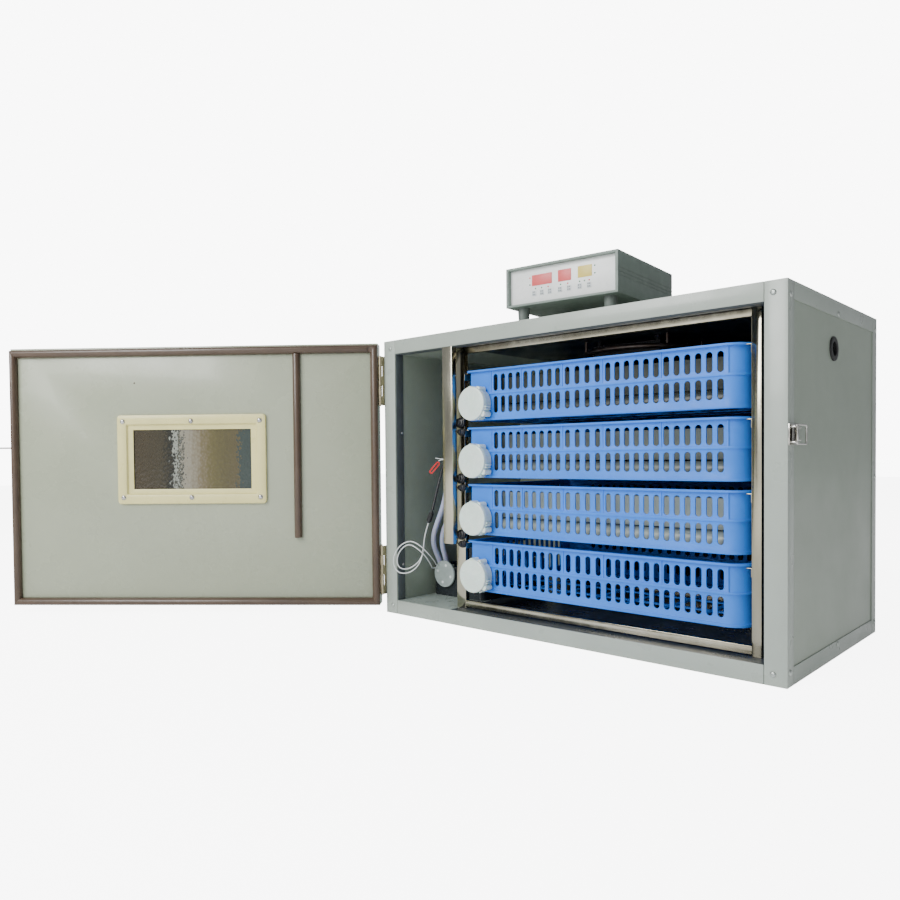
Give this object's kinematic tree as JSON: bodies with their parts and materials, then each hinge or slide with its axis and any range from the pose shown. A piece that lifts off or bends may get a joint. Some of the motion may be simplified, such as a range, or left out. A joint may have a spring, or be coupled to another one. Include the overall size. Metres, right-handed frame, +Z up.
{
  "type": "egg incubator",
  "caption": "Egg incubator: insulated cabinet with a windowed swing door, slotted sliding egg trays with turning rollers, a fan, a heater, a humidifier and a controller on its roof.",
  "frame": {"origin": "centre of the cabinet's underside", "axes": "+Z up, -Y towards the door side of the cabinet, +X towards the latch side"},
  "size_m": [1.3067, 0.881, 0.591],
  "materials": {
    "cabinet_skin": "satin",
    "edge_angle": "satin",
    "chamber_floor": "satin",
    "rivet": "brushed",
    "rack_steel": "brushed",
    "black_plastic": "matte",
    "heater_steel": "dull",
    "pan_plastic": "satin",
    "disc_plastic": "gloss",
    "wire_white": "satin",
    "tag_red": "satin",
    "hose_clear": "gloss",
    "rubber_black": "matte",
    "latch_steel": "polished",
    "hinge_zinc": "brushed",
    "case_plastic": "matte",
    "panel_white": "satin",
    "display_red": "gloss",
    "key_white": "satin",
    "board_green": "satin",
    "door_skin": "satin",
    "gasket_brown": "matte",
    "frame_cream": "satin",
    "window_glass": "rippled",
    "screw_steel": "brushed",
    "tray_blue": "satin",
    "cap_white": "gloss",
    "rack_pale": "satin",
    "roller_pale": "satin"
  },
  "bodies": {
    "cabinet": {"left_panel": "cabinet_skin", "right_panel": "cabinet_skin", "top_panel": "cabinet_skin", "bottom_panel": "chamber_floor", "back_panel": "cabinet_skin", "corner_posts": "edge_angle", "width_rails": "edge_angle", "depth_rails": "edge_angle", "cabinet_rivets": "rivet", "rack_frame": "rack_steel", "divider_strip": "rack_steel", "fan_housing": "black_plastic", "heater_ring": "heater_steel", "water_tank": "pan_plastic", "atomiser_disc": "disc_plastic", "atomiser_wire_a": "wire_white", "atomiser_wire_b": "wire_white", "cable_fittings": "tag_red", "sensor_cable": "wire_white", "water_hose_a": "hose_clear", "water_hose_b": "hose_clear", "vent_grommet": "rubber_black", "latch_base": "latch_steel", "hinge_cabinet_leaves": "hinge_zinc", "hinge_pins": "hinge_zinc", "controller_top_shell": "case_plastic", "controller_bottom_shell": "case_plastic", "controller_panels": "panel_white", "controller_feet": "rubber_black", "display_lights": "display_red", "keypad_keys": "key_white", "control_board": "board_green", "rear_inlets": "black_plastic"},
    "fan": {"fan_rotor": "black_plastic"},
    "latch_lever": {"latch_lever": "latch_steel"},
    "latch_bail": {"latch_bail": "latch_steel"},
    "door": {"door_panel": "door_skin", "door_gaskets": "gasket_brown", "window_frame": "frame_cream", "window_panes": "window_glass", "window_screws": "screw_steel", "hinge_door_leaves": "hinge_zinc", "latch_keeper": "latch_steel"},
    "tray_1": {"tray_basket_1": "tray_blue", "turner_motor_1": "cap_white", "roller_rack_1": "rack_pale"},
    "tray_2": {"tray_basket_2": "tray_blue", "turner_motor_2": "cap_white", "roller_rack_2": "rack_pale"},
    "tray_3": {"tray_basket_3": "tray_blue", "turner_motor_3": "cap_white", "roller_rack_3": "rack_pale"},
    "tray_4": {"tray_basket_4": "tray_blue", "turner_motor_4": "cap_white"},
    "turning_shaft": {"turning_shaft_1": "rack_steel"},
    "roller_1": {"roller_1_1": "roller_pale"},
    "roller_2": {"roller_1_2": "roller_pale"},
    "roller_3": {"roller_1_3": "roller_pale"},
    "roller_4": {"roller_1_4": "roller_pale"},
    "roller_5": {"roller_1_5": "roller_pale"}
  },
  "joints": [
    {"name": "door_hinge", "type": "hinge", "parent": "cabinet", "child": "door", "pos_m": [-0.3615, -0.2085, 0], "axis": [0, 0, -1], "range_deg": [-140, 40]},
    {"name": "latch_lever_pivot", "type": "hinge", "parent": "cabinet", "child": "latch_lever", "pos_m": [0.365, -0.188, 0.311], "axis": [0, 0, -1], "range_deg": [-150, 0]},
    {"name": "latch_bail_pivot", "type": "hinge", "parent": "latch_lever", "child": "latch_bail", "pos_m": [0.369, -0.19493, 0.311], "axis": [0, 0, -1], "range_deg": [0, 333]},
    {"name": "fan_spin", "type": "hinge", "parent": "cabinet", "child": "fan", "pos_m": [0.06, 0, 0.455], "axis": [0, 0, 1], "continuous": true},
    {"name": "tray_1_slide", "type": "slide", "parent": "cabinet", "child": "tray_1", "axis": [0, -1, 0], "range_m": [0, 0.26]},
    {"name": "tray_2_slide", "type": "slide", "parent": "cabinet", "child": "tray_2", "axis": [0, -1, 0], "range_m": [0, 0.26]},
    {"name": "tray_3_slide", "type": "slide", "parent": "cabinet", "child": "tray_3", "axis": [0, -1, 0], "range_m": [0, 0.26]},
    {"name": "tray_4_slide", "type": "slide", "parent": "cabinet", "child": "tray_4", "axis": [0, -1, 0], "range_m": [0, 0.26]},
    {"name": "turning_shaft_spin", "type": "hinge", "parent": "tray_1", "child": "turning_shaft", "pos_m": [-0.14, -0.02, 0.376], "axis": [0, 1, 0], "continuous": true},
    {"name": "roller_1_spin", "type": "hinge", "parent": "tray_1", "child": "roller_1", "pos_m": [0.078, -0.14, 0.363], "axis": [1, 0, 0], "continuous": true},
    {"name": "roller_2_spin", "type": "hinge", "parent": "tray_1", "child": "roller_2", "pos_m": [0.078, -0.08, 0.363], "axis": [1, 0, 0], "continuous": true},
    {"name": "roller_3_spin", "type": "hinge", "parent": "tray_1", "child": "roller_3", "pos_m": [0.078, -0.02, 0.363], "axis": [1, 0, 0], "continuous": true},
    {"name": "roller_4_spin", "type": "hinge", "parent": "tray_1", "child": "roller_4", "pos_m": [0.078, 0.04, 0.363], "axis": [1, 0, 0], "continuous": true},
    {"name": "roller_5_spin", "type": "hinge", "parent": "tray_1", "child": "roller_5", "pos_m": [0.078, 0.1, 0.363], "axis": [1, 0, 0], "continuous": true}
  ],
  "couplings": [
    {"joint": "latch_bail_pivot", "follows": "latch_lever_pivot", "ratio": -2.22},
    {"joint": "roller_1_spin", "follows": "turning_shaft_spin", "ratio": 0.05},
    {"joint": "roller_2_spin", "follows": "turning_shaft_spin", "ratio": 0.05},
    {"joint": "roller_3_spin", "follows": "turning_shaft_spin", "ratio": 0.05},
    {"joint": "roller_4_spin", "follows": "turning_shaft_spin", "ratio": 0.05},
    {"joint": "roller_5_spin", "follows": "turning_shaft_spin", "ratio": 0.05}
  ]
}
